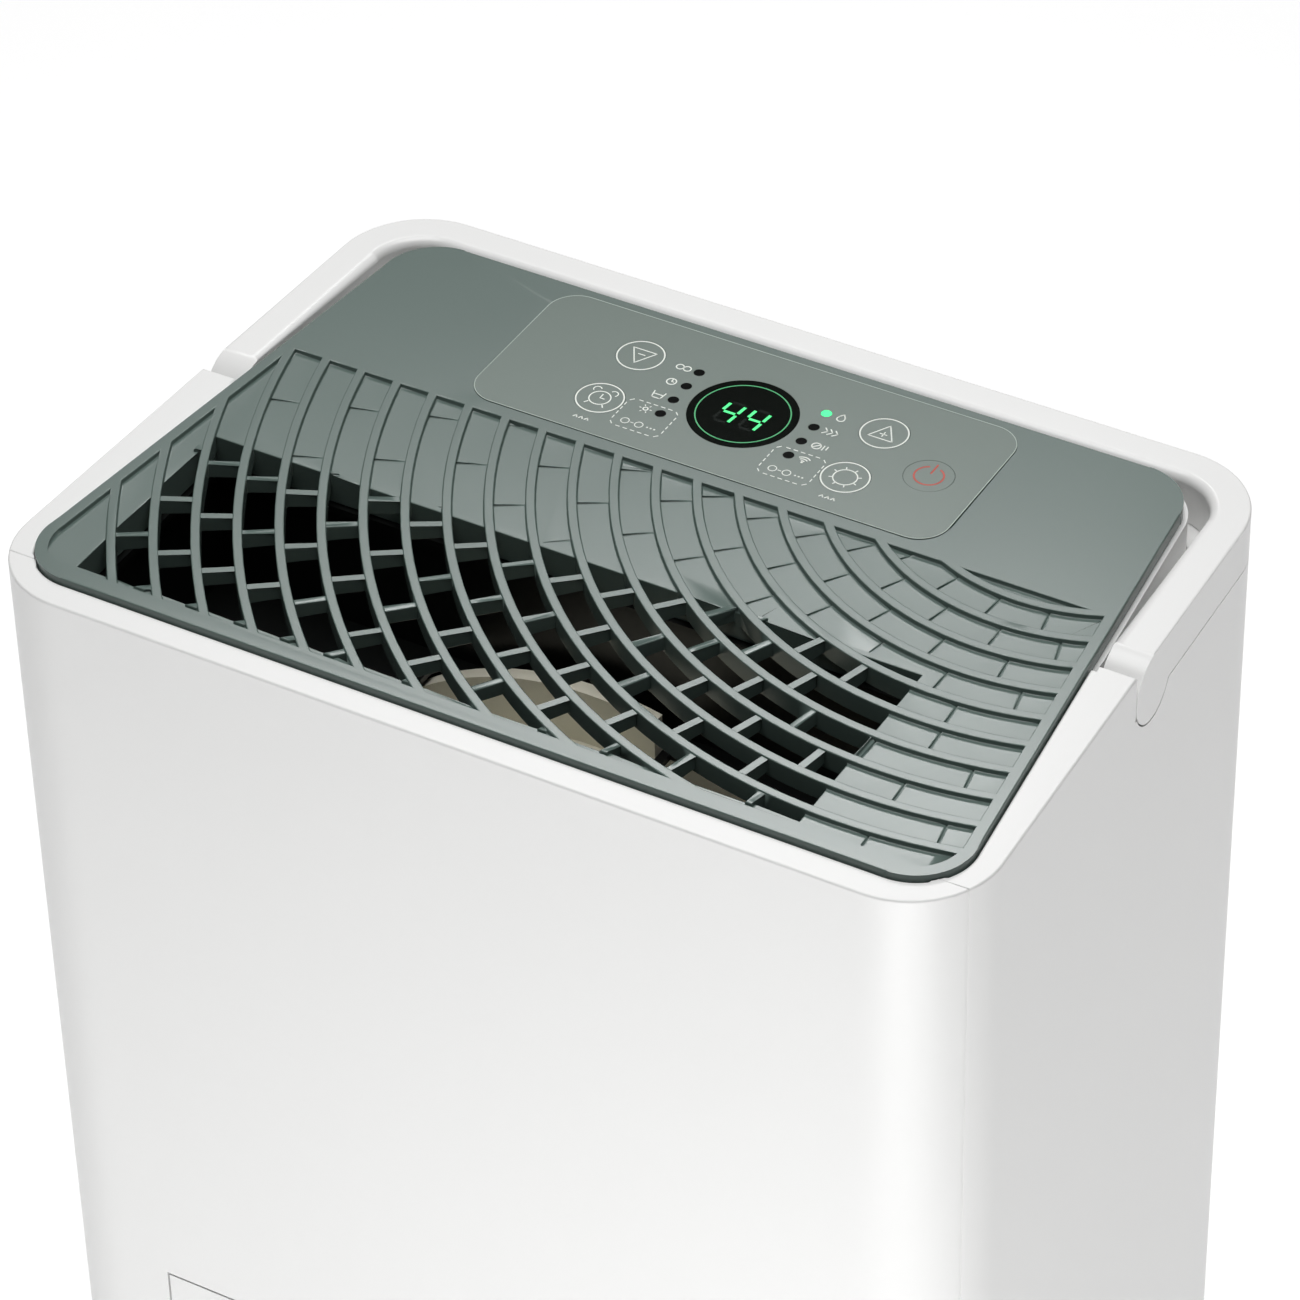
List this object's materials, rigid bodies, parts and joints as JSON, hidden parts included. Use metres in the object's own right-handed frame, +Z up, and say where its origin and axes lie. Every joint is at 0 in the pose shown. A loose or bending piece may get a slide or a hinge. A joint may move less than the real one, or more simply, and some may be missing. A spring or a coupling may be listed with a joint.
{
  "type": "dehumidifier",
  "caption": "Portable compressor dehumidifier with rounded upright body, top control film, curved rib air grille, fold-up carry handle, water bucket and castors.",
  "frame": {"origin": "centre of the bounding box in plan, on the floor", "axes": "+Z up, front face towards -Y, width along X"},
  "size_m": [0.3378, 0.234, 0.5001],
  "materials": {
    "white_plastic": "satin",
    "sage_plastic": "satin",
    "film_plastic": "fine satin",
    "lens_black": "polished",
    "led_green": "lit",
    "dark_plastic": "moulded",
    "cream_plastic": "moulded",
    "steel": "plated",
    "aluminium": "mill",
    "copper": "drawn",
    "black_paint": "semi gloss",
    "rubber": "moulded",
    "wheel_rubber": "moulded",
    "circuit_board": "solder mask"
  },
  "bodies": {
    "housing": {"base_pan": "dark_plastic", "front_shell": "white_plastic", "rear_shell": "white_plastic", "top_frame": "white_plastic", "top_plate": "sage_plastic", "control_film": "film_plastic", "display_lens": "lens_black", "display_module": "dark_plastic", "led_lens_lit": "led_green", "led_lenses": "lens_black", "control_board": "circuit_board", "tact_switches": "dark_plastic", "handle_pins": "steel", "outlet_duct": "dark_plastic", "scroll_front": "cream_plastic", "scroll_rear": "cream_plastic", "fan_motor": "steel", "evaporator_fins": "aluminium", "evaporator_tubes": "copper", "condenser_fins": "aluminium", "condenser_tubes": "copper", "coil_end_plates": "steel", "drip_tray": "dark_plastic", "compressor": "black_paint", "compressor_mounts": "rubber", "compressor_bolts": "steel", "terminal_cover": "dark_plastic", "discharge_pipe": "copper", "suction_pipe": "copper", "capillary_tube": "copper", "power_box": "dark_plastic", "uv_lamp_board": "circuit_board", "float_switch": "dark_plastic", "cord_gland": "dark_plastic", "shell_screws": "steel", "rear_castor_forks": "dark_plastic", "rear_castor_axles": "steel"},
    "handle": {"handle": "white_plastic"},
    "minus_key": {"key_minus": "film_plastic"},
    "timer_key": {"key_timer": "film_plastic"},
    "plus_key": {"key_plus": "film_plastic"},
    "mode_key": {"key_mode": "film_plastic"},
    "power_key": {"key_power": "film_plastic"},
    "fan": {"fan_impeller": "dark_plastic", "motor_shaft": "steel"},
    "bucket": {"bucket": "white_plastic", "bucket_lid": "dark_plastic"},
    "float": {"float": "cream_plastic"},
    "filter": {"intake_grille": "white_plastic", "filter_frame": "dark_plastic", "filter_mesh": "dark_plastic"},
    "castor_left": {"castor_fork_left": "dark_plastic", "castor_axle_left": "steel"},
    "castor_right": {"castor_fork_right": "dark_plastic", "castor_axle_right": "steel"},
    "wheel_front_left": {"wheel_front_left": "wheel_rubber"},
    "wheel_front_right": {"wheel_front_right": "wheel_rubber"},
    "wheel_rear_left": {"wheel_rear_left": "wheel_rubber"},
    "wheel_rear_right": {"wheel_rear_right": "wheel_rubber"}
  },
  "joints": [
    {"name": "handle_lift", "type": "hinge", "parent": "housing", "child": "handle", "pos_m": [0, 0.0205, 0.48545], "axis": [1, 0, 0], "range_deg": [0, 90]},
    {"name": "fan_spin", "type": "hinge", "parent": "housing", "child": "fan", "pos_m": [0, -0.057, 0.35], "axis": [0, 1, 0], "continuous": true},
    {"name": "bucket_slide", "type": "slide", "parent": "housing", "child": "bucket", "axis": [0, -1, 0], "range_m": [0, 0.14]},
    {"name": "float_rise", "type": "hinge", "parent": "bucket", "child": "float", "pos_m": [-0.075, -0.007, 0.174], "axis": [-1, 0, 0], "range_deg": [0, 18]},
    {"name": "filter_slide", "type": "slide", "parent": "housing", "child": "filter", "axis": [0, 1, 0], "range_m": [0, 0.04]},
    {"name": "minus_press", "type": "slide", "parent": "housing", "child": "minus_key", "axis": [0, 0, -1], "range_m": [0, 0.0004], "stiffness_N_per_m": 500, "springref_m": -0.0008},
    {"name": "timer_press", "type": "slide", "parent": "housing", "child": "timer_key", "axis": [0, 0, -1], "range_m": [0, 0.0004], "stiffness_N_per_m": 500, "springref_m": -0.0008},
    {"name": "plus_press", "type": "slide", "parent": "housing", "child": "plus_key", "axis": [0, 0, -1], "range_m": [0, 0.0004], "stiffness_N_per_m": 500, "springref_m": -0.0008},
    {"name": "mode_press", "type": "slide", "parent": "housing", "child": "mode_key", "axis": [0, 0, -1], "range_m": [0, 0.0004], "stiffness_N_per_m": 500, "springref_m": -0.0008},
    {"name": "power_press", "type": "slide", "parent": "housing", "child": "power_key", "axis": [0, 0, -1], "range_m": [0, 0.0004], "stiffness_N_per_m": 500, "springref_m": -0.0008},
    {"name": "castor_swivel_left", "type": "hinge", "parent": "housing", "child": "castor_left", "pos_m": [-0.13, -0.087, 0.028], "axis": [0, 0, 1], "continuous": true},
    {"name": "front_wheel_roll_left", "type": "hinge", "parent": "castor_left", "child": "wheel_front_left", "pos_m": [-0.13, -0.079, 0.0123], "axis": [1, 0, 0], "continuous": true},
    {"name": "rear_wheel_roll_left", "type": "hinge", "parent": "housing", "child": "wheel_rear_left", "pos_m": [-0.12183, 0.097, 0.0123], "axis": [1, 0, 0], "continuous": true},
    {"name": "castor_swivel_right", "type": "hinge", "parent": "housing", "child": "castor_right", "pos_m": [0.13, -0.087, 0.028], "axis": [0, 0, 1], "continuous": true},
    {"name": "front_wheel_roll_right", "type": "hinge", "parent": "castor_right", "child": "wheel_front_right", "pos_m": [0.13, -0.079, 0.0123], "axis": [1, 0, 0], "continuous": true},
    {"name": "rear_wheel_roll_right", "type": "hinge", "parent": "housing", "child": "wheel_rear_right", "pos_m": [0.12183, 0.097, 0.0123], "axis": [1, 0, 0], "continuous": true}
  ]
}
